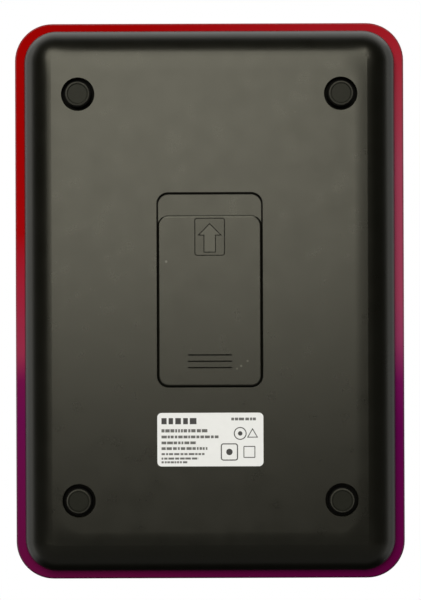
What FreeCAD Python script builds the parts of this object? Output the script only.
"""Digital kitchen scale with a glass platform, standing on four load-cell feet.

Frame: millimetres, +Z up, origin on the plane that the feet stand on, below the
middle of the platform. +Y points to the rear, and the display is at the front, -Y.
The battery door is in the underside, and it slides towards the rear to open.
"""
import FreeCAD, Part
import math
import os
import re
import Sketcher

DOC = FreeCAD.newDocument("KitchenScale")
V = FreeCAD.Vector
UP = V(0, 0, 1)
EPS = 1e-4
NEAR = 1e-3

# name, millimetres (or a plain count), what it is
SIZES = [
    ("glass_length", 230.0, "platform, along Y"),
    ("glass_width", 161.0, "platform, along X"),
    ("glass_corner", 15.5, "platform corner radius"),
    ("glass_thickness", 4.0, "toughened glass"),
    ("glass_bevel", 0.7, "ground edge of the glass"),
    ("print_thickness", 0.2, "back print, primer and colour"),
    ("tape_thickness", 0.5, "foam tape under the glass"),
    ("tape_width", 1.6, "foam tape on the tray's rim"),
    ("tray_overhang_side", 4.05, "glass beyond the tray, left and right"),
    ("tray_overhang_end", 3.6, "glass beyond the tray, front and rear"),
    ("tray_corner", 13.5, "tray corner radius"),
    ("tray_base", 2.0, "height of the tray's underside above the table"),
    ("tray_height", 12.8, "tray, underside to rim"),
    ("tray_wall", 2.0, "side wall"),
    ("tray_floor", 1.8, "floor"),
    ("tray_round", 12.4, "outer radius between floor and side"),
    ("tray_round_inside", 10.4, "inner radius between floor and side"),
    ("rib_thickness", 1.2, "stiffening ribs"),
    ("rib_height", 1.6, "stiffening ribs, above the floor"),
    ("rib_spacing", 36.0, "cross ribs, along Y"),
    ("rib_row_start", 12.0, "middle cross rib, along Y"),
    ("rib_column", 36.0, "long ribs, from the middle"),
    ("rib_clear_front", 30.0, "floor without long ribs, under the circuit board"),
    ("door_pocket_width", 42.9, "recess for the door, along X"),
    ("door_pocket_front", -35.1, "recess for the door, front edge"),
    ("door_pocket_rear", 43.75, "recess for the door, rear edge"),
    ("door_pocket_corner", 4.7, "recess corner radius"),
    ("door_pocket_depth", 1.7, "recess depth"),
    ("door_pocket_edge", 0.15, "rounded edge of the recess"),
    ("door_gap", 0.3, "gap around the closed door"),
    ("door_rear", 34.8, "rear edge of the closed door"),
    ("door_thickness", 1.55, "door plate"),
    ("door_round", 0.9, "rounded edge of the door"),
    ("door_travel", 8.6, "slide that frees the door's hooks"),
    ("ledge_thickness", 1.5, "lip that the door slides on"),
    ("ledge_margin", 2.0, "lip beyond the recess"),
    ("opening_width", 29.0, "opening in the lip, along X"),
    ("bay_width", 35.4, "battery bay, along X"),
    ("bay_length", 52.0, "battery bay, along Y"),
    ("bay_wall", 1.5, "battery bay walls"),
    ("bay_ceiling", 14.4, "height of the bay's ceiling"),
    ("bay_roof", 0.7, "battery bay roof"),
    ("guide_base", 7.4, "battery guide ribs, lower end"),
    ("guide_spacing", 15.0, "battery guide ribs, along Y"),
    ("guide_clearance", 0.4, "battery guide ribs, from the battery"),
    ("hook_length", 6.0, "door hooks, along Y"),
    ("hook_front", -19.0, "middle of the front pair of hooks"),
    ("hook_rear", 13.0, "middle of the rear pair of hooks"),
    ("hook_thickness", 1.1, "door hooks"),
    ("hook_reach", 2.4, "door hooks, over the lip"),
    ("hook_clearance", 0.2, "door hooks, from the opening's sides"),
    ("hook_lift", 0.1, "door hooks, above the lip"),
    ("arrow_panel_width", 12.4, "recessed panel around the arrow"),
    ("arrow_panel_length", 15.4, "recessed panel around the arrow"),
    ("arrow_panel_middle", 26.0, "recessed panel, along Y"),
    ("arrow_panel_corner", 1.2, "recessed panel corner radius"),
    ("arrow_relief", 0.3, "depth of the panel, height of the arrow"),
    ("arrow_groove", 0.35, "groove around the panel and the arrow"),
    ("arrow_groove_depth", 0.65, "groove depth, from the door's face"),
    ("arrow_middle", 25.5, "whole arrow, along Y"),
    ("arrow_width", 8.3, "arrow head"),
    ("arrow_shaft", 4.3, "arrow shaft"),
    ("arrow_head", 4.2, "arrow head, along Y"),
    ("arrow_length", 11.1, "whole arrow"),
    ("grip_width", 18.0, "thumb grooves, along X"),
    ("grip_middle", -24.5, "middle thumb groove"),
    ("grip_pitch", 2.57, "thumb grooves, apart"),
    ("grip_groove", 0.6, "thumb groove width"),
    ("grip_depth", 0.55, "thumb groove depth"),
    ("label_length", 43.0, "rating label, along X"),
    ("label_width", 21.7, "rating label, along Y"),
    ("label_corner", 1.8, "rating label corner radius"),
    ("label_middle", -56.2, "rating label, along Y"),
    ("label_thickness", 0.12, "rating label"),
    ("foot_spacing_x", 106.6, "feet, along X"),
    ("foot_spacing_y", 164.8, "feet, along Y"),
    ("foot_middle", 1.55, "middle of the feet, along Y"),
    ("foot_hole", 13.0, "hole around a foot, diameter"),
    ("foot_hole_edge", 0.3, "chamfer on the hole"),
    ("pad_diameter", 9.6, "rubber pad"),
    ("pad_height", 2.6, "rubber pad"),
    ("pad_dish", 0.35, "depth of the dish in the pad's face"),
    ("pad_rim", 0.7, "rim around the dish"),
    ("cup_diameter", 10.8, "cup that holds the pad"),
    ("cup_base", 1.5, "lower edge of the cup, above the table"),
    ("cup_flange", 16.4, "cup flange, diameter"),
    ("cup_flange_base", 5.6, "cup flange, lower face"),
    ("cell_base", 7.0, "load cell, lower face"),
    ("cell_thickness", 1.0, "load cell, spring steel"),
    ("cell_width", 22.0, "load cell, along X"),
    ("cell_length", 24.0, "load cell, along Y"),
    ("cell_corner", 1.5, "load cell corner radius"),
    ("cell_window", 18.0, "free space inside the load cell's seat"),
    ("slot_front", -6.0, "free end of the tongue's slot, from the foot's axis"),
    ("slot_rear", 7.0, "root of the tongue's slot, from the foot's axis"),
    ("cell_slot", 1.2, "slot around the load cell's tongue"),
    ("tongue_width", 8.4, "load cell tongue"),
    ("gauge_length", 5.4, "strain gauge under its sealant"),
    ("gauge_middle", 3.6, "strain gauge, from the foot's axis"),
    ("gauge_corner", 1.2, "strain gauge corner radius"),
    ("gauge_round", 0.4, "rounded top edge of the sealant"),
    ("gauge_height", 0.8, "strain gauge under its sealant"),
    ("seat_screw_offset", 16.0, "retainer screws, from the foot's axis"),
    ("retainer_thickness", 1.5, "load cell retainer"),
    ("seat_rim", 1.0, "seat beyond the load cell, and its corner radius"),
    ("seat_boss", 6.0, "retainer screw boss, diameter"),
    ("screw_shank", 1.6, "self-tapping screw, diameter"),
    ("screw_head", 3.6, "screw head, diameter"),
    ("screw_head_height", 1.2, "screw head"),
    ("screw_length", 6.0, "screw, under the head"),
    ("screw_bite", 0.1, "pilot hole, wider than the shank"),
    ("screw_slip", 0.3, "through hole, wider than the shank"),
    ("screw_cross", 0.5, "screw head cross, width of a slot"),
    ("screw_point", 0.9, "screw, its cut-off point"),
    ("board_width", 78.0, "circuit board, along X"),
    ("board_length", 30.0, "circuit board, along Y"),
    ("board_middle", -80.0, "circuit board and display, along Y"),
    ("board_base", 8.5, "circuit board, lower face"),
    ("board_thickness", 1.6, "circuit board"),
    ("board_corner", 1.5, "circuit board corner radius"),
    ("board_boss", 5.0, "circuit board boss, diameter"),
    ("board_hole_x", 35.5, "circuit board screws, from the middle"),
    ("board_hole_y", 11.5, "circuit board screws, from the middle"),
    ("window_width", 42.0, "display window in the print"),
    ("window_length", 19.0, "display window in the print"),
    ("window_corner", 1.5, "display window corner radius"),
    ("lcd_width", 46.0, "display, along X"),
    ("lcd_length", 23.0, "display, along Y"),
    ("lcd_thickness", 2.6, "display"),
    ("lcd_base", 11.8, "display, lower face"),
    ("holder_wall", 1.4, "display holder wall"),
    ("lcd_clearance", 0.3, "display in its holder, both sides together"),
    ("strip_length", 39.0, "display connector strip, along X"),
    ("strip_width", 2.4, "display connector strip, along Y"),
    ("strip_slot", 1.0, "slot for the strip, longer and wider than it"),
    ("recess_length", 40.0, "opening under the display, along X"),
    ("recess_width", 14.0, "opening under the display, along Y"),
    ("recess_middle", 2.0, "opening under the display, from the board's middle"),
    ("gasket_clearance", 1.0, "gasket opening, wider than the window"),
    ("resin_side", 12.0, "resin over the controller, both ways"),
    ("resin_middle", 2.0, "resin over the controller, from the board's middle"),
    ("resin_radius", 8.0, "radius of the resin's dome"),
    ("resin_height", 1.7, "resin over the controller, height of the dome"),
    ("gasket_width", 1.5, "foam gasket around the window"),
    ("key_offset", 31.0, "touch keys, from the middle"),
    ("key_spring_diameter", 7.3, "touch key spring, at the board"),
    ("key_spring_top", 6.1, "touch key spring, at the glass"),
    ("key_spring_wire", 0.5, "touch key spring wire"),
    ("cell_offset", 5.5, "battery axis, from the middle"),
    ("battery_axis", 9.0, "battery axis, above the table"),
    ("battery_diameter", 10.2, "AAA cell"),
    ("battery_length", 44.5, "AAA cell, with its button"),
    ("button_diameter", 3.8, "AAA cell's button"),
    ("button_height", 1.0, "AAA cell's button"),
    ("contact_thickness", 0.4, "battery contact plates"),
    ("contact_width", 9.4, "battery contact plates"),
    ("contact_dimple", 0.8, "dimple on a positive contact"),
    ("contact_wire", 0.7, "battery spring wire"),
    ("tab_width", 3.0, "solder tabs of the terminals"),
    ("tab_reach", 3.2, "solder tabs, outside the bay's wall"),
    ("tab_base", 12.0, "solder tabs, lower face"),
    ("tab_clearance", 0.1, "slots around the solder tabs"),
    ("notch_clearance", 0.35, "notches around the open door's hooks"),
    ("lead_diameter", 0.9, "insulated wire"),
    ("support_diameter", 8.0, "glass support posts"),
    ("support_x", 42.0, "glass support posts, from the middle"),
    ("support_front", -18.0, "front pair of glass support posts"),
    ("support_rear", 44.0, "rear pair of glass support posts"),
    ("overlap", 0.5, "how far a shape runs into the one it joins or past the one it cuts"),
]

CORNERS = [
    ("front_left", -1, -1),
    ("front_right", 1, -1),
    ("rear_left", -1, 1),
    ("rear_right", 1, 1),
]


# ---------------------------------------------------------------- the sheet

def make_sheet():
    sheet = DOC.addObject("Spreadsheet::Sheet", "Sizes")
    for row, (alias, size, note) in enumerate(SIZES, start=1):
        sheet.set(f"A{row}", alias)
        sheet.set(f"B{row}", str(size))
        sheet.setAlias(f"B{row}", alias)
        sheet.set(f"C{row}", note)
    DOC.recompute()
    return sheet


SHEET = make_sheet()
ALIASES = re.compile(r"\b(" + "|".join(name for name, _, _ in SIZES) + r")\b")


def formula(text):
    """A formula in the sheet's aliases, as FreeCAD's expressions want it."""
    return ALIASES.sub(r"Sizes.\1", str(text))


def number(text):
    """What a formula gives now, as a plain number."""
    return float(SHEET.evalExpression(formula(text)))


def bind(thing, prop, text):
    thing.setExpression(prop, formula(text))


# ---------------------------------------------------------------- sketches

def new_body(label):
    body = DOC.addObject("PartDesign::Body", label)
    body.Label = label
    return body


def new_sketch(body, name, height="0", plane="XY_Plane"):
    """A sketch on one of the body's own origin planes, raised by height."""
    sketch = body.newObject("Sketcher::SketchObject", name)
    support = next(o for o in body.Origin.OriginFeatures if o.Role == plane)
    sketch.AttachmentSupport = [(support, "")]
    sketch.MapMode = "FlatFace"
    bind(sketch, "AttachmentOffset.Base.z", height)
    return sketch


def pin(sketch, kind, geometry, point, text):
    """Holds one coordinate of a sketch point at a formula of the sheet."""
    index = sketch.addConstraint(
        Sketcher.Constraint(kind, -1, 1, geometry, point, number(text))
    )
    name = f"place_{index}"
    sketch.renameConstraint(index, name)
    bind(sketch, f"Constraints.{name}", text)


def draw_polygon(sketch, points):
    """A closed outline of straight lines through (x, y) pairs of formulas."""
    places = [V(number(x), number(y), 0) for x, y in points]
    first = sketch.GeometryCount
    count = len(points)
    for i in range(count):
        line = Part.LineSegment(places[i], places[(i + 1) % count])
        sketch.addGeometry(line, False)
    for i in range(count):
        after = first + (i + 1) % count
        sketch.addConstraint(Sketcher.Constraint("Coincident", first + i, 2, after, 1))
    for i, (x, y) in enumerate(points):
        pin(sketch, "DistanceX", first + i, 1, x)
        pin(sketch, "DistanceY", first + i, 1, y)


def draw_box(sketch, left, right, front, rear):
    draw_polygon(sketch, [(left, front), (right, front), (right, rear), (left, rear)])


def draw_round_box(sketch, left, right, front, rear, radius):
    """A rectangle with rounded corners: four lines and four tangent arcs."""
    x0, x1, y0, y1 = (number(t) for t in (left, right, front, rear))
    r = number(radius)
    first = sketch.GeometryCount
    ends = [
        (V(x0 + r, y0, 0), V(x1 - r, y0, 0)),
        (V(x1, y0 + r, 0), V(x1, y1 - r, 0)),
        (V(x1 - r, y1, 0), V(x0 + r, y1, 0)),
        (V(x0, y1 - r, 0), V(x0, y0 + r, 0)),
    ]
    centres = [(x1 - r, y0 + r), (x1 - r, y1 - r), (x0 + r, y1 - r), (x0 + r, y0 + r)]
    for (start, end), (cx, cy), turn in zip(ends, centres, (-90, 0, 90, 180)):
        sketch.addGeometry(Part.LineSegment(start, end), False)
        circle = Part.Circle(V(cx, cy, 0), UP, r)
        begin = math.radians(turn)
        sketch.addGeometry(Part.ArcOfCircle(circle, begin, begin + math.pi / 2), False)
    for i in range(4):
        line, arc = first + 2 * i, first + 2 * i + 1
        after = first + (2 * i + 2) % 8
        sketch.addConstraint(Sketcher.Constraint("Tangent", line, 2, arc, 1))
        sketch.addConstraint(Sketcher.Constraint("Tangent", arc, 2, after, 1))
        if i:
            sketch.addConstraint(Sketcher.Constraint("Equal", first + 1, arc))
    sketch.addConstraint(Sketcher.Constraint("Horizontal", first))
    sketch.addConstraint(Sketcher.Constraint("Vertical", first + 2))
    pin(sketch, "DistanceY", first, 1, front)
    pin(sketch, "DistanceX", first + 2, 1, right)
    pin(sketch, "DistanceY", first + 4, 1, rear)
    pin(sketch, "DistanceX", first + 6, 1, left)
    size = sketch.addConstraint(Sketcher.Constraint("Radius", first + 1, r))
    name = f"round_{size}"
    sketch.renameConstraint(size, name)
    bind(sketch, f"Constraints.{name}", radius)


def draw_circle(sketch, x, y, diameter):
    circle = Part.Circle(V(number(x), number(y), 0), UP, number(diameter) / 2)
    index = sketch.addGeometry(circle, False)
    pin(sketch, "DistanceX", index, 3, x)
    pin(sketch, "DistanceY", index, 3, y)
    size = sketch.addConstraint(
        Sketcher.Constraint("Diameter", index, number(diameter))
    )
    name = f"size_{size}"
    sketch.renameConstraint(size, name)
    bind(sketch, f"Constraints.{name}", diameter)


# ---------------------------------------------------------------- features

def pad(body, sketch, height):
    """Adds material above the sketch."""
    feature = body.newObject("PartDesign::Pad", sketch.Name + "_pad")
    feature.Profile = sketch
    bind(feature, "Length", height)
    sketch.Visibility = False
    DOC.recompute()
    return feature


def cut(body, sketch, height):
    """Takes away the material above the sketch, and checks that some went."""
    before = body.Shape.Volume
    feature = body.newObject("PartDesign::Pocket", sketch.Name + "_cut")
    feature.Profile = sketch
    feature.Reversed = True
    bind(feature, "Length", height)
    DOC.recompute()
    if body.Shape.Volume > before - EPS:
        raise ValueError(f"{feature.Name} cuts nothing")
    return feature


def edge_names(shape, wanted):
    names = [f"Edge{i}" for i, edge in enumerate(shape.Edges, start=1) if wanted(edge)]
    if not names:
        raise ValueError("no edge fits")
    return names


def level(height):
    """A test for edges that lie flat at a height."""
    z = number(height)

    def test(edge):
        box = edge.BoundBox
        return abs(box.ZMin - z) < NEAR and abs(box.ZMax - z) < NEAR

    return test


def soften(body, kind, wanted, size):
    """A fillet or chamfer on the wanted edges of the body as it stands."""
    base = body.Tip
    feature = body.newObject(f"PartDesign::{kind}", f"{body.Name}_{kind}")
    feature.Base = (base, edge_names(base.Shape, wanted))
    bind(feature, "Radius" if kind == "Fillet" else "Size", size)
    DOC.recompute()
    return feature


def plate(label, outline, base, thickness, holes=()):
    """A flat piece: one rounded outline with round or rounded holes."""
    body = new_body(label)
    sketch = new_sketch(body, label + "_outline", base)
    draw_round_box(sketch, *outline)
    for hole in holes:
        (draw_circle if len(hole) == 3 else draw_round_box)(sketch, *hole)
    pad(body, sketch, thickness)
    return body


def at_middle(width, length, middle="0"):
    """left, right, front, rear of a box centred on X = 0 and Y = middle."""
    return (
        f"-({width})/2",
        f"({width})/2",
        f"{middle}-({length})/2",
        f"{middle}+({length})/2",
    )


def place(thing, x="0", y="0", z="0"):
    for axis, text in zip("xyz", (x, y, z)):
        bind(thing, f"Placement.Base.{axis}", text)


def foot_place(x_side, y_side):
    return f"{x_side}*foot_spacing_x/2", f"foot_middle+{y_side}*foot_spacing_y/2"


# ---------------------------------------------------------------- platform

TRAY_TOP = "tray_base+tray_height"
PRINT_BASE = TRAY_TOP + "+tape_thickness"
GLASS_BASE = PRINT_BASE + "+print_thickness"
TRAY_WIDTH = "glass_width-2*tray_overhang_side"
TRAY_LENGTH = "glass_length-2*tray_overhang_end"


def make_glass():
    outline = (*at_middle("glass_width", "glass_length"), "glass_corner")
    body = plate("glass_platform", outline, GLASS_BASE, "glass_thickness")
    top = number(GLASS_BASE + "+glass_thickness")
    bottom = number(GLASS_BASE)

    def rim(edge):
        box = edge.BoundBox
        return box.ZLength < EPS and min(abs(box.ZMin - top), abs(box.ZMin - bottom)) < EPS

    soften(body, "Chamfer", rim, "glass_bevel")


def make_print():
    """Colour on the back of the glass, open over the display and the touch keys."""
    width, length = "glass_width-2*glass_bevel", "glass_length-2*glass_bevel"
    outline = (*at_middle(width, length), "glass_corner-glass_bevel")
    window = (*at_middle("window_width", "window_length", "board_middle"), "window_corner")
    plate("platform_print", outline, PRINT_BASE, "print_thickness", [window])


def make_tape():
    outer = (*at_middle(TRAY_WIDTH + "-0.4", TRAY_LENGTH + "-0.4"), "tray_corner-0.2")
    inset = "-0.4-2*tape_width"
    inner = (*at_middle(TRAY_WIDTH + inset, TRAY_LENGTH + inset), "tray_corner-0.2-tape_width")
    plate("bonding_tape", outer, TRAY_TOP, "tape_thickness", [inner])


def support_places():
    for x_side in (-1, 1):
        for y in ("support_front", "support_rear"):
            yield f"{x_side}*support_x", y


def board_places():
    for x_side in (-1, 1):
        for y_side in (-1, 1):
            yield f"{x_side}*board_hole_x", f"board_middle+{y_side}*board_hole_y"


def make_support_pads():
    shapes = []
    for i, (x, y) in enumerate(support_places()):
        disc = DOC.addObject("Part::Cylinder", f"support_pad_{i}")
        bind(disc, "Radius", "support_diameter/2-0.5")
        bind(disc, "Height", "tape_thickness")
        place(disc, x, y, TRAY_TOP)
        shapes.append(disc)
    group = DOC.addObject("Part::Compound", "glass_support_pads")
    group.Links = shapes


# ---------------------------------------------------------------- tray

FLOOR_TOP = "tray_base+tray_floor"
ROOT = FLOOR_TOP + "-overlap"
LEDGE_BASE = "tray_base+door_pocket_depth"
LEDGE_TOP = LEDGE_BASE + "+ledge_thickness"


def add_block(body, name, base, top, draw):
    sketch = new_sketch(body, name, base)
    draw(sketch)
    return pad(body, sketch, f"({top})-({base})")


def cut_block(body, name, base, top, draw):
    sketch = new_sketch(body, name, base)
    draw(sketch)
    return cut(body, sketch, f"({top})-({base})")


def make_tray():
    body = new_body("base_tray")
    shell_tray(body)
    rib_tray(body)
    battery_bay(body)
    foot_seats(body)
    board_bosses(body)
    soften(body, "Fillet", pocket_edge, "door_pocket_edge")


def shell_tray(body):
    """A dish with one large radius all round, hollowed from the top."""
    outline = (*at_middle(TRAY_WIDTH, TRAY_LENGTH), "tray_corner")
    add_block(body, "tray_outer", "tray_base", TRAY_TOP,
              lambda sketch: draw_round_box(sketch, *outline))
    inside = (
        *at_middle(TRAY_WIDTH + "-2*tray_wall", TRAY_LENGTH + "-2*tray_wall"),
        "tray_corner-tray_wall",
    )
    cut_block(body, "tray_inside", FLOOR_TOP, TRAY_TOP + "+overlap",
              lambda sketch: draw_round_box(sketch, *inside))
    soften(body, "Fillet", level(FLOOR_TOP), "tray_round_inside")
    soften(body, "Fillet", level("tray_base"), "tray_round")


def rib_tray(body):
    """Low ribs across and along the floor."""
    reach_x = TRAY_WIDTH + "-2*tray_round"
    reach_y = TRAY_LENGTH + "-2*tray_round"

    def along(sketch):
        for side in (-1, 1):
            draw_box(sketch, f"{side}*rib_column-rib_thickness/2",
                     f"{side}*rib_column+rib_thickness/2",
                     f"-({reach_y})/2+rib_clear_front", f"({reach_y})/2")

    def across(sketch):
        for step in (-2, -1, 0, 1):
            draw_box(sketch, f"-({reach_x})/2", f"({reach_x})/2",
                     f"{step}*rib_spacing+rib_row_start-rib_thickness/2",
                     f"{step}*rib_spacing+rib_row_start+rib_thickness/2")

    add_block(body, "ribs_along", ROOT, FLOOR_TOP + "+rib_height", along)
    add_block(body, "ribs_across", ROOT, FLOOR_TOP + "+rib_height", across)


def battery_bay(body):
    """The recess that the door slides in, the lip under its hooks, and the bay."""
    half = "door_pocket_width/2"
    land = (
        f"-{half}-ledge_margin", f"{half}+ledge_margin",
        "door_pocket_front-ledge_margin", "door_pocket_rear+ledge_margin",
        "door_pocket_corner+ledge_margin",
    )
    walls = at_middle("bay_width+2*bay_wall", "bay_length+2*bay_wall")
    recess = (f"-{half}", half, "door_pocket_front", "door_pocket_rear", "door_pocket_corner")
    add_block(body, "bay_land", ROOT, LEDGE_TOP, lambda s: draw_round_box(s, *land))
    add_block(body, "bay_block", ROOT, "bay_ceiling+bay_roof", lambda s: draw_box(s, *walls))
    cut_block(body, "door_recess", "tray_base-overlap", LEDGE_BASE,
              lambda s: draw_round_box(s, *recess))
    cut_block(body, "bay_opening", LEDGE_BASE + "-overlap", LEDGE_TOP + "+overlap", draw_opening)
    cut_block(body, "bay_hollow", LEDGE_TOP, "bay_ceiling",
              lambda s: draw_box(s, *at_middle("bay_width", "bay_length")))
    add_block(body, "cell_guides", "guide_base", "bay_ceiling+overlap/2", draw_guides)
    cut_block(body, "tab_slots", "tab_base-tab_clearance",
              "tab_base+contact_thickness+tab_clearance", draw_slots)


def draw_opening(sketch):
    """The opening in the lip, with notches where the open door's hooks lift out."""
    half, reach = "opening_width/2", "opening_width/2+hook_reach+notch_clearance"
    points = []
    for side, hooks in ((1, ("hook_front", "hook_rear")), (-1, ("hook_rear", "hook_front"))):
        points.append((f"{side}*({half})", f"-{side}*bay_length/2"))
        for hook in hooks:
            for x, y_side in ((half, -1), (reach, -1), (reach, 1), (half, 1)):
                end = f"{hook}+door_travel+{side * y_side}*(hook_length/2+notch_clearance)"
                points.append((f"{side}*({x})", end))
        points.append((f"{side}*({half})", f"{side}*bay_length/2"))
    draw_polygon(sketch, points)


def draw_guides(sketch):
    """Ribs that keep the batteries in the middle of the bay."""
    for step in (-1, 0, 1):
        y = f"{step}*guide_spacing"
        for side in (-1, 1):
            outer = f"{side}*(bay_width/2+overlap)"
            inner = f"{side}*(cell_offset+battery_diameter/2+guide_clearance)"
            low, high = (inner, outer) if side > 0 else (outer, inner)
            draw_box(sketch, low, high, f"{y}-rib_thickness/2", f"{y}+rib_thickness/2")


def draw_slots(sketch):
    """Slots through the bay's front wall for the terminals' solder tabs."""
    for side in (-1, 1):
        draw_box(sketch, f"{side}*cell_offset-tab_width/2-tab_clearance",
                 f"{side}*cell_offset+tab_width/2+tab_clearance",
                 "-bay_length/2-bay_wall-overlap", "-bay_length/2+tab_clearance")


def foot_seats(body):
    """A square seat for each load cell, its screw bosses and the hole for its foot."""
    feet = [foot_place(x_side, y_side) for _, x_side, y_side in CORNERS]
    bosses = [(x, f"{y}+{side}*seat_screw_offset") for x, y in feet for side in (-1, 1)]
    boss_top = "cell_base+cell_thickness"
    add_block(body, "cell_seats", ROOT, "cell_base", lambda s: draw_seats(s, feet))
    add_block(body, "seat_bosses", ROOT, boss_top,
              lambda s: draw_circles(s, bosses, "seat_boss"))
    cut_block(body, "seat_pilots", FLOOR_TOP, boss_top + "+overlap",
              lambda s: draw_circles(s, bosses, "screw_shank+screw_bite"))
    cut_block(body, "foot_holes", "tray_base-overlap", "cell_base-overlap",
              lambda s: draw_circles(s, feet, "foot_hole"))

    def hole_edge(edge):
        curve = edge.Curve
        round_one = hasattr(curve, "Radius") and abs(2 * curve.Radius - number("foot_hole")) < NEAR
        return round_one and edge.BoundBox.ZMax < number("tray_base") + NEAR

    soften(body, "Chamfer", hole_edge, "foot_hole_edge")


def draw_seats(sketch, places):
    for x, y in places:
        rim = ("cell_width+2*seat_rim", "cell_length+2*seat_rim")
        for across, along in (rim, ("cell_window", "cell_window")):
            draw_round_box(sketch, f"{x}-({across})/2", f"{x}+({across})/2",
                           f"{y}-({along})/2", f"{y}+({along})/2", "seat_rim")


def draw_circles(sketch, places, diameter):
    for x, y in places:
        draw_circle(sketch, x, y, diameter)


def board_bosses(body):
    """Bosses for the board's screws, and the posts that hold the glass up."""
    bosses = list(board_places())
    add_block(body, "board_bosses", ROOT, "board_base",
              lambda s: draw_circles(s, bosses, "board_boss"))
    cut_block(body, "board_pilots", FLOOR_TOP, "board_base+overlap",
              lambda s: draw_circles(s, bosses, "screw_shank+screw_bite"))
    add_block(body, "support_posts", ROOT, TRAY_TOP,
              lambda s: draw_circles(s, support_places(), "support_diameter"))


def pocket_edge(edge):
    """The outline of the door's recess, in the tray's underside."""
    box = edge.BoundBox
    low = abs(box.ZMax - number("tray_base")) < NEAR
    near_x = abs(box.Center.x) < number("door_pocket_width") / 2 + NEAR
    front, rear = number("door_pocket_front") - NEAR, number("door_pocket_rear") + NEAR
    return low and near_x and front < box.Center.y < rear


# ---------------------------------------------------------------- door and label

DOOR_BASE = "tray_base"


def make_door():
    body = new_body("battery_door")
    half = "door_pocket_width/2-door_gap"
    outline = (
        f"-({half})", half, "door_pocket_front+door_gap", "door_rear",
        "door_pocket_corner-door_gap",
    )
    add_block(body, "door_plate", DOOR_BASE, DOOR_BASE + "+door_thickness",
              lambda s: draw_round_box(s, *outline))
    soften(body, "Fillet", level(DOOR_BASE), "door_round")
    arrow_panel(body)
    grip_grooves(body)
    door_hooks(body)
    return body


def draw_panel(sketch, inset):
    """The arrow panel's outline, brought in by an inset."""
    across, along = f"arrow_panel_width-2*({inset})", f"arrow_panel_length-2*({inset})"
    corner = f"arrow_panel_corner-({inset})"
    draw_round_box(sketch, *at_middle(across, along, "arrow_panel_middle"), corner)


def draw_arrow(sketch, grow):
    """An arrow that points to the rear, with every edge moved out by grow."""
    slant = math.atan2(number("arrow_head"), number("arrow_width/2"))
    tip = f"arrow_middle+arrow_length/2+({grow})/{math.cos(slant)}"
    neck = f"arrow_middle+arrow_length/2-arrow_head-({grow})"
    tail = f"arrow_middle-arrow_length/2-({grow})"
    shaft = f"arrow_shaft/2+({grow})"
    barb = f"arrow_width/2+({grow})/{math.tan(slant / 2)}"
    right_side = [(shaft, tail), (shaft, neck), (barb, neck)]
    left_side = [(f"-({x})", y) for x, y in reversed(right_side)]
    draw_polygon(sketch, right_side + [("0", tip)] + left_side)


def draw_arrow_grooves(sketch):
    for inset in ("0", "arrow_groove"):
        draw_panel(sketch, inset)
    for grow in ("arrow_groove", "0"):
        draw_arrow(sketch, grow)


def arrow_panel(body):
    """A sunken panel with a raised arrow, and a fine groove around each."""
    below = DOOR_BASE + "-overlap"
    cut_block(body, "arrow_recess", below, DOOR_BASE + "+arrow_relief",
              lambda s: draw_panel(s, "0"))
    add_block(body, "arrow", DOOR_BASE, DOOR_BASE + "+arrow_relief+overlap/2",
              lambda s: draw_arrow(s, "0"))
    cut_block(body, "arrow_grooves", below, DOOR_BASE + "+arrow_groove_depth",
              draw_arrow_grooves)


def grip_grooves(body):
    for step in (-1, 0, 1):
        middle = f"grip_middle+{step}*grip_pitch"
        outline = (*at_middle("grip_width", "grip_groove", middle), "0.45*grip_groove")
        cut_block(body, f"grip_{step + 1}", DOOR_BASE + "-overlap", DOOR_BASE + "+grip_depth",
                  lambda s: draw_round_box(s, *outline))


def door_hooks(body):
    """Four hooks that reach through the opening and out over the lip."""
    hook_base = LEDGE_TOP + "+hook_lift"
    hook_top = hook_base + "+hook_thickness"
    root = DOOR_BASE + "+door_thickness-overlap"
    stem = "opening_width/2-hook_clearance"
    tip, inner = stem + "+hook_reach", stem + "-hook_thickness"
    for i, hook in enumerate(("hook_front", "hook_rear")):
        front, rear = f"{hook}-hook_length/2", f"{hook}+hook_length/2"
        for side in (-1, 1):
            for part, base, outer in (("stem", root, stem), ("tip", hook_base, tip)):
                low, high = (inner, outer) if side > 0 else (f"-({outer})", f"-({inner})")
                add_block(body, f"hook_{part}_{i}_{side + 1}", base, hook_top,
                          lambda s: draw_box(s, low, high, front, rear))


def make_label():
    outline = (*at_middle("label_length", "label_width", "label_middle"), "label_corner")
    plate("rating_label", outline, "tray_base-label_thickness", "label_thickness")


# ---------------------------------------------------------------- feet and load cells

def revolved(body, name, profile):
    """A turned shape about Z, from (radius, height) pairs of formulas."""
    sketch = new_sketch(body, name, "0", "XZ_Plane")
    draw_polygon(sketch, profile)
    feature = body.newObject("PartDesign::Revolution", name + "_turned")
    feature.Profile = sketch
    feature.ReferenceAxis = (sketch, ["V_Axis"])
    feature.Angle = 360
    DOC.recompute()
    return feature


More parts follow.
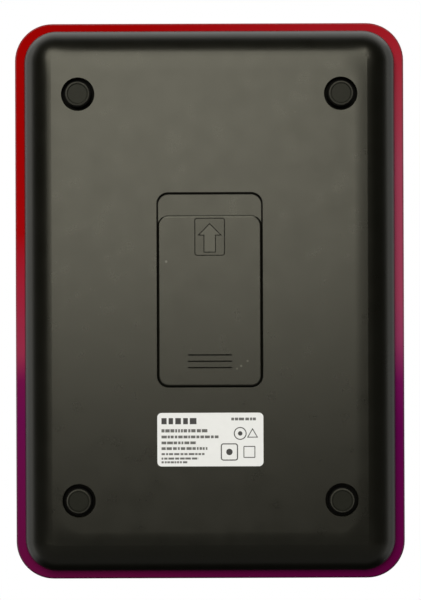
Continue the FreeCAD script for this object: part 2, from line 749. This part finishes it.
def make_foot(name, x_side, y_side):
    """The rubber pad, and the cup that carries it up to the load cell's tongue."""
    x, y = foot_place(x_side, y_side)
    rubber = new_body(f"foot_pad_{name}")
    revolved(rubber, f"pad_profile_{name}", [
        ("0", "pad_dish"), ("pad_diameter/2-pad_rim-0.3", "pad_dish"),
        ("pad_diameter/2-pad_rim", "0"), ("pad_diameter/2-0.35", "0"),
        ("pad_diameter/2", "0.35"), ("pad_diameter/2", "pad_height"), ("0", "pad_height"),
    ])
    place(rubber, x, y)
    cup = new_body(f"foot_cup_{name}")
    revolved(cup, f"cup_profile_{name}", [
        ("0", "pad_height"), ("pad_diameter/2", "pad_height"), ("pad_diameter/2", "cup_base"),
        ("cup_diameter/2-0.15", "cup_base"), ("cup_diameter/2", "cup_base+0.15"),
        ("cup_diameter/2", "cup_flange_base"), ("cup_flange/2", "cup_flange_base"),
        ("cup_flange/2", "cup_flange_base+0.9"), ("2.5", "cup_flange_base+0.9"),
        ("1.8", "cell_base"), ("0", "cell_base"),
    ])
    place(cup, x, y)


def make_load_cell(name, x_side, y_side):
    """A spring-steel plate with a tongue that the foot bends, and its strain gauge."""
    x, y = foot_place(x_side, y_side)
    cell = new_body(f"load_cell_{name}")
    sketch = new_sketch(cell, f"cell_outline_{name}", "cell_base")
    draw_round_box(sketch, *at_middle("cell_width", "cell_length"), "cell_corner")
    outer, inner = "tongue_width/2+cell_slot", "tongue_width/2"
    tongue_end = "slot_front+cell_slot"
    draw_polygon(sketch, [
        (f"-({outer})", "slot_rear"), (f"-({outer})", "slot_front"), (outer, "slot_front"),
        (outer, "slot_rear"), (inner, "slot_rear"), (inner, tongue_end),
        (f"-{inner}", tongue_end), (f"-{inner}", "slot_rear"),
    ])
    pad(cell, sketch, "cell_thickness")
    place(cell, x, y)
    gauge = new_body(f"strain_gauge_{name}")
    sketch = new_sketch(gauge, f"gauge_outline_{name}", "cell_base+cell_thickness")
    outline = at_middle("tongue_width-2*seat_rim", "gauge_length", "gauge_middle")
    draw_round_box(sketch, *outline, "gauge_corner")
    pad(gauge, sketch, "gauge_height")
    soften(gauge, "Fillet", level("cell_base+cell_thickness+gauge_height"), "gauge_round")
    place(gauge, x, y)


def make_retainer(name, x_side, y_side):
    """The plastic frame that clamps the load cell's rim onto its seat."""
    x, y = foot_place(x_side, y_side)
    outline = (*at_middle("cell_width", "2*seat_screw_offset+seat_boss"), "0.4*seat_boss")
    holes = [(*at_middle("cell_window", "cell_window"), "cell_corner")]
    holes += [("0", f"{side}*seat_screw_offset", "screw_shank+screw_slip") for side in (-1, 1)]
    body = plate(f"load_cell_retainer_{name}", outline, "cell_base+cell_thickness",
                 "retainer_thickness", holes)
    place(body, x, y)


def screw(name, x, y, seat):
    """A self-tapping screw, head down on the seat height, as a turned shape."""
    body = DOC.addObject("Part::Cylinder", f"{name}_shank")
    bind(body, "Radius", "screw_shank/2")
    bind(body, "Height", "screw_length-screw_point")
    place(body, x, y, f"{seat}-screw_length+screw_point")
    head = DOC.addObject("Part::Cylinder", f"{name}_head")
    bind(head, "Radius", "screw_head/2")
    bind(head, "Height", "screw_head_height")
    place(head, x, y, seat)
    slots = []
    for i, turned in enumerate((False, True)):
        slot = DOC.addObject("Part::Box", f"{name}_slot_{i}")
        across, along = ("screw_cross", "screw_head*2/3")[::-1 if turned else 1]
        bind(slot, "Length", across)
        bind(slot, "Width", along)
        bind(slot, "Height", "screw_head_height")
        place(slot, f"{x}-({across})/2", f"{y}-({along})/2", f"{seat}+screw_head_height/2")
        slots.append(slot)
    cross = DOC.addObject("Part::MultiFuse", f"{name}_cross")
    cross.Shapes = slots
    driven = DOC.addObject("Part::Cut", f"{name}_driven")
    driven.Base, driven.Tool = head, cross
    whole = DOC.addObject("Part::Fuse", name)
    whole.Base, whole.Tool = driven, body
    return whole


def make_screws():
    seats, board = [], []
    for name, x_side, y_side in CORNERS:
        x, y = foot_place(x_side, y_side)
        for i, side in enumerate((-1, 1)):
            seats.append(screw(f"cell_screw_{name}_{i}", x, f"{y}+{side}*seat_screw_offset",
                               "cell_base+cell_thickness+retainer_thickness"))
    for i, (x, y) in enumerate(board_places()):
        board.append(screw(f"board_screw_{i}", x, y, BOARD_TOP))
    for label, screws in (("retainer_screws", seats), ("board_screws", board)):
        group = DOC.addObject("Part::Compound", label)
        group.Links = screws


# ---------------------------------------------------------------- electronics

BOARD_TOP = "board_base+board_thickness"


def make_board():
    outline = (*at_middle("board_width", "board_length", "board_middle"), "board_corner")
    holes = [(x, y, "screw_shank+screw_slip") for x, y in board_places()]
    plate("main_board", outline, "board_base", "board_thickness", holes)


def around_board(width, length, corner, offset="0"):
    """A rounded outline on the board's middle line, moved along Y by an offset."""
    return (*at_middle(width, length, f"board_middle+({offset})"), corner)


def make_display():
    """The display in its holder, on the strip that joins it to the board."""
    lcd_top = "lcd_base+lcd_thickness"
    plate("lcd_glass", around_board("lcd_width", "lcd_length", "lcd_clearance"),
          "lcd_base", "lcd_thickness")
    room_x, room_y = "lcd_width+lcd_clearance", "lcd_length+lcd_clearance"
    outer = around_board(room_x + "+2*holder_wall", room_y + "+2*holder_wall", "1")
    hollow = around_board(room_x, room_y, "lcd_clearance")
    strip_place = "strip_width-lcd_length/2"
    slot = around_board("strip_length+strip_slot", "strip_width+strip_slot", "lcd_clearance",
                        strip_place)
    opening = around_board("recess_length", "recess_width", "1", "recess_middle")
    holder = new_body("lcd_holder")
    below = BOARD_TOP + "-overlap"
    add_block(holder, "holder_block", BOARD_TOP, lcd_top + "-0.2",
              lambda s: draw_round_box(s, *outer))
    cut_block(holder, "holder_seat", "lcd_base", lcd_top + "+overlap",
              lambda s: draw_round_box(s, *hollow))
    cut_block(holder, "holder_strip_slot", below, "lcd_base+overlap",
              lambda s: draw_round_box(s, *slot))
    cut_block(holder, "holder_opening", below, "lcd_base+overlap",
              lambda s: draw_round_box(s, *opening))
    strip = around_board("strip_length", "strip_width", "lcd_clearance", strip_place)
    plate("lcd_connector_strip", strip, BOARD_TOP, f"lcd_base-({BOARD_TOP})")
    inner_x, inner_y = "window_width+gasket_clearance", "window_length+gasket_clearance"
    gasket = around_board(inner_x + "+2*gasket_width", inner_y + "+2*gasket_width",
                          "window_corner")
    inside = around_board(inner_x, inner_y, "gasket_clearance")
    plate("window_gasket", gasket, lcd_top, f"({PRINT_BASE})-({lcd_top})", [inside])


def make_chip():
    """The controller, under a low dome of black resin on the board's lower face."""
    middle = "board_middle+resin_middle"
    ball = DOC.addObject("Part::Sphere", "resin_ball")
    bind(ball, "Radius", "resin_radius")
    place(ball, "0", middle, "board_base-resin_height+resin_radius")
    block = DOC.addObject("Part::Box", "resin_block")
    for prop, size in (("Length", "resin_side"), ("Width", "resin_side"), ("Height", "resin_height")):
        bind(block, prop, size)
    place(block, "-resin_side/2", f"{middle}-resin_side/2", "board_base-resin_height")
    chip = DOC.addObject("Part::Common", "controller_chip")
    chip.Base, chip.Tool = ball, block


def make_components():
    """Surface-mount capacitors and resistors, and one crystal, on the board's top."""
    # x and y from the board's middle, then length, width and height
    places = [
        (-29, 9, 1.6, 0.8, 0.8), (-29, 6, 1.6, 0.8, 0.8), (-27, -8, 2.0, 1.3, 1.0),
        (27.5, 9, 1.6, 0.8, 0.6), (27.5, 6, 1.6, 0.8, 0.6), (27, -9, 3.2, 1.6, 1.4),
        (-28.5, -12.4, 7.0, 2.4, 2.2),
    ]
    parts = []
    for i, (x, y, length, width, height) in enumerate(places):
        box = DOC.addObject("Part::Box", f"component_{i}")
        for prop, size in (("Length", length), ("Width", width), ("Height", height)):
            bind(box, prop, size)
        place(box, f"{x}-{length}/2", f"board_middle+{y}-{width}/2", BOARD_TOP)
        parts.append(box)
    group = DOC.addObject("Part::Compound", "board_components")
    group.Links = parts


def coil(turns, height, low_radius, high_radius, wire):
    """A wire coil that stands on Z = 0 and widens or narrows as it climbs."""
    rise = height - wire
    slope = math.degrees(math.atan2(high_radius - low_radius, rise))
    helix = Part.makeHelix(rise / turns, rise, low_radius, slope)
    helix.translate(V(0, 0, wire / 2))
    start = helix.Edges[0].firstVertex().Point
    ring = Part.Wire(Part.makeCircle(wire / 2, start, V(0, 1, 0)))
    shell = Part.Wire(helix.Edges).makePipeShell([ring], True, True)
    return shell


def add_shape(label, shape, position=V(0, 0, 0)):
    """A piece whose shape comes from Part's own functions, then its place."""
    feature = DOC.addObject("Part::Feature", label)
    feature.Shape = shape
    feature.Placement = FreeCAD.Placement(position, FreeCAD.Rotation()) * shape.Placement
    return feature


def make_touch_springs():
    """Springs that carry each touch key's field from the board to the glass."""
    height = number(f"({PRINT_BASE})-({BOARD_TOP})")
    low = number("(key_spring_diameter-key_spring_wire)/2")
    high = number("(key_spring_top-key_spring_wire)/2")
    for name, side in (("power", -1), ("unit", 1)):
        shape = coil(3.5, height, low, high, number("key_spring_wire"))
        spot = V(side * number("key_offset"), number("board_middle"), number(BOARD_TOP))
        add_shape(f"touch_spring_{name}", shape, spot)


# ---------------------------------------------------------------- batteries

def make_batteries():
    """Two AAA cells side by side and head to tail."""
    for label, side, turn in (("battery_a", 1, 1), ("battery_b", -1, -1)):
        body = new_body(label)
        r = "battery_diameter/2"
        shoulder = "battery_length-button_height"
        revolved(body, label + "_profile", [
            ("0", "0"), (f"{r}-1.2", "0"), (f"{r}-1.0", "0.3"), (f"{r}-0.4", "0.3"), (r, "0.7"),
            (r, shoulder + "-0.6"), (f"{r}-0.5", shoulder + "-0.1"),
            (f"{r}-1.4", shoulder + "-0.1"), (f"{r}-1.6", shoulder),
            ("button_diameter/2", shoulder), ("button_diameter/2", "battery_length-0.2"),
            ("button_diameter/2-0.2", "battery_length"), ("0", "battery_length"),
        ])
        body.Placement.Rotation = FreeCAD.Rotation(V(1, 0, 0), 90 * turn)
        flat_end = "battery_length+contact_thickness+contact_dimple-bay_length/2"
        place(body, f"{side}*cell_offset", f"{turn}*({flat_end})", "battery_axis")


def contact_plate(label, side, y_side, width="contact_width"):
    """A contact plate against an end wall of the bay."""
    box = DOC.addObject("Part::Box", label)
    bind(box, "Length", width)
    bind(box, "Width", "contact_thickness")
    bind(box, "Height", "contact_width")
    y = "bay_length/2-contact_thickness" if y_side > 0 else "-bay_length/2"
    place(box, f"{side}*cell_offset-({width})/2", y, "battery_axis-contact_width/2")
    return box


def dimple(label, side, y_side):
    """The raised spot that a battery's button presses on."""
    pip = DOC.addObject("Part::Cone", label)
    bind(pip, "Radius1", "2.6")
    bind(pip, "Radius2", "1.8")
    bind(pip, "Height", "contact_dimple")
    pip.Placement.Rotation = FreeCAD.Rotation(V(1, 0, 0), 90 * y_side)
    y = f"{y_side}*(bay_length/2-contact_thickness)"
    place(pip, f"{side}*cell_offset", y, "battery_axis")
    return pip


def battery_spring(y_side):
    """A conical spring between a contact plate and a battery's flat end."""
    gap = number("bay_length-2*contact_thickness-contact_dimple-battery_length")
    wire = number("contact_wire")
    shape = coil(4, gap - 0.04, 3.6, 2.2, wire)
    shape.rotate(V(0, 0, 0), V(1, 0, 0), 90 * y_side)
    wall = number("bay_length/2-contact_thickness") - 0.02
    shape.translate(V(y_side * number("cell_offset"), y_side * wall, number("battery_axis")))
    return shape


def solder_tab(label, side):
    """The strip that takes a terminal through the bay's front wall to its wire."""
    tab = DOC.addObject("Part::Box", label)
    bind(tab, "Length", "tab_width")
    bind(tab, "Width", "bay_wall+tab_reach+0.2")
    bind(tab, "Height", "contact_thickness")
    place(tab, f"{side}*cell_offset-tab_width/2", "-bay_length/2-bay_wall-tab_reach", "tab_base")
    return tab


def make_contacts():
    positive = DOC.addObject("Part::MultiFuse", "positive_terminal")
    positive.Shapes = [
        contact_plate("positive_plate", 1, -1),
        dimple("positive_dimple", 1, -1),
        solder_tab("positive_tab", 1),
    ]
    negative = DOC.addObject("Part::Fuse", "negative_terminal")
    negative.Base = contact_plate("negative_plate", -1, -1)
    negative.Tool = solder_tab("negative_tab", -1)
    bridge = DOC.addObject("Part::Fuse", "bridge_contact")
    bridge.Base = contact_plate("bridge_plate", 0, 1, "contact_width+2*cell_offset")
    bridge.Tool = dimple("bridge_dimple", -1, 1)
    add_shape("negative_spring", battery_spring(-1))
    add_shape("bridge_spring", battery_spring(1))


# ---------------------------------------------------------------- wires

def wire_tube(points, diameter, name):
    """A round wire through the points: straight runs joined by tangent arcs."""
    edges, start, tightest = [], points[0], None
    for i in range(1, len(points) - 1):
        before, corner, after = points[i - 1], points[i], points[i + 1]
        back, ahead = before - corner, after - corner
        turn = math.pi - back.getAngle(ahead)
        shorter = min(back.Length, ahead.Length)
        setback = 0.45 * shorter
        radius = setback / math.tan(turn / 2)
        tightest = radius if tightest is None else min(tightest, radius)
        back.normalize()
        ahead.normalize()
        enter, leave = corner + back * setback, corner + ahead * setback
        inward = back + ahead
        inward.normalize()
        centre = corner + inward * (radius / math.cos(turn / 2))
        middle = centre - inward * radius
        edges.append(Part.LineSegment(start, enter).toShape())
        edges.append(Part.Arc(enter, middle, leave).toShape())
        start = leave
    edges.append(Part.LineSegment(start, points[-1]).toShape())
    path = Part.Wire(edges)
    along = points[1] - points[0]
    ring = Part.Wire(Part.makeCircle(diameter / 2, points[0], along))
    tube = path.makePipeShell([ring], True, True)
    expected = path.Length * math.pi * diameter ** 2 / 4
    if abs(tube.Volume / expected - 1) > 0.02:
        raise ValueError(f"{name}: the tube's volume is not its section times its length")
    print(f"{name}: {path.Length:.0f} mm, tightest radius {tightest:.1f} mm")
    return tube


def front_route(x, y, x_side, step, floor, gauge, board):
    """From a front load cell over its retainer to the near end of the board."""
    landing = x_side * (30 + step)
    return [
        V(x + x_side * step, y + 6.9, gauge),
        V(x + x_side * step, y + 9.6, gauge + 3.4),
        V(x + x_side * step, y + 16.2 - step, gauge + 4.6),
        V(x - x_side * (13 - step), y + 22.5 - step, gauge + 1.6),
        V(landing, y + 17.5, board + 1.8),
        V(landing, y + 13.6, board),
    ]


def rear_route(x, y, x_side, step, floor, gauge, board):
    """From a rear load cell along the floor, beside the battery bay, to the board."""
    landing = x_side * (25.5 + step)
    return [
        V(x + x_side * step, y + 6.9, gauge),
        V(x + x_side * step, y + 9.6, gauge + 3.4),
        V(x - x_side * (5 - step), y + 14.5 + step, gauge + 3.4),
        V(x_side * (36.5 + step), y + 10 + step, floor + 2.5),
        V(x_side * (34 + step), y - 16 + step, floor),
        V(x_side * (31 + step), y - 42, floor),
        V(x_side * (29 + step), y - 78, floor),
        V(x_side * (29 + step), y - 112, floor),
        V(x_side * (28.5 + step), y - 138, floor + 1.0),
        V(landing, y - 148.5, board + 1.8),
        V(landing, y - 151.3, board),
    ]


def make_cell_wires():
    """Three wires from each strain gauge to the board, side by side."""
    wire = number("lead_diameter")
    pitch = wire + 0.15
    floor = number(FLOOR_TOP + "+rib_height") + wire / 2 + 0.05
    board = number(BOARD_TOP) + wire / 2
    gauge = number("cell_base+cell_thickness") + wire / 2
    for name, x_side, y_side in CORNERS:
        label = f"load_cell_wires_{name}"
        x, y = (number(text) for text in foot_place(x_side, y_side))
        route = front_route if y_side < 0 else rear_route
        tubes = []
        for i in (-1, 0, 1):
            points = route(x, y, x_side, i * pitch, floor, gauge, board)
            tubes.append(wire_tube(points, wire, label))
        add_shape(label, Part.makeCompound(tubes))


def make_battery_leads():
    """A wire from each battery terminal's solder tab to the board."""
    wire = number("lead_diameter")
    front = -number("bay_length/2+bay_wall+tab_reach/2")
    tab_top = number("tab_base+contact_thickness") + wire / 2
    floor = number(FLOOR_TOP + "+rib_height") + wire / 2 + 0.05
    board = number(BOARD_TOP) + wire / 2
    middle = number("board_middle")
    for label, side in (("battery_lead_positive", 1), ("battery_lead_negative", -1)):
        x = side * number("cell_offset")
        points = [
            V(x, front + 0.8, tab_top),
            V(x, front - 3.5, tab_top + 0.4),
            V(x + side * 2.0, front - 10.5, floor + 3.0),
            V(x + side * 4.5, front - 19.0, floor + 0.5),
            V(x + side * 5.5, front - 27.5, floor + 1.2),
            V(x + side * 5.5, middle + 16.5, board + 1.8),
            V(x + side * 5.5, middle + 13.6, board),
        ]
        add_shape(label, wire_tube(points, wire, label))


# ---------------------------------------------------------------- build and write

NODES = (
    ["glass_platform", "platform_print", "bonding_tape", "glass_support_pads", "base_tray"]
    + ["battery_door", "rating_label"]
    + [f"{kind}_{name}" for kind in ("foot_pad", "foot_cup", "load_cell", "strain_gauge",
                                     "load_cell_retainer", "load_cell_wires")
       for name, _, _ in CORNERS]
    + ["retainer_screws", "board_screws", "main_board", "controller_chip", "board_components"]
    + ["lcd_glass", "lcd_holder", "lcd_connector_strip", "window_gasket"]
    + ["touch_spring_power", "touch_spring_unit", "battery_a", "battery_b"]
    + ["positive_terminal", "negative_terminal", "bridge_contact"]
    + ["negative_spring", "bridge_spring"]
    + ["battery_lead_positive", "battery_lead_negative"]
)


def build():
    make_glass()
    make_print()
    make_tape()
    make_support_pads()
    make_tray()
    make_door()
    make_label()
    for name, x_side, y_side in CORNERS:
        make_foot(name, x_side, y_side)
        make_load_cell(name, x_side, y_side)
        make_retainer(name, x_side, y_side)
    make_screws()
    make_board()
    make_display()
    make_chip()
    make_components()
    make_touch_springs()
    make_batteries()
    make_contacts()
    make_cell_wires()
    make_battery_leads()
    DOC.recompute()


def write():
    failed = [o.Name for o in DOC.Objects if {"Invalid", "Error"} & set(o.State)]
    if failed:
        raise ValueError(f"these objects failed: {failed}")
    os.makedirs("parts", exist_ok=True)
    for label in NODES:
        shape = DOC.getObjectsByLabel(label)[0].Shape
        if shape.isNull() or not shape.isValid() or not shape.Solids:
            raise ValueError(f"{label} has no valid solid")
        shape.exportStep(f"parts/{label}.step")
    print(f"{len(NODES)} nodes written")


build()
write()
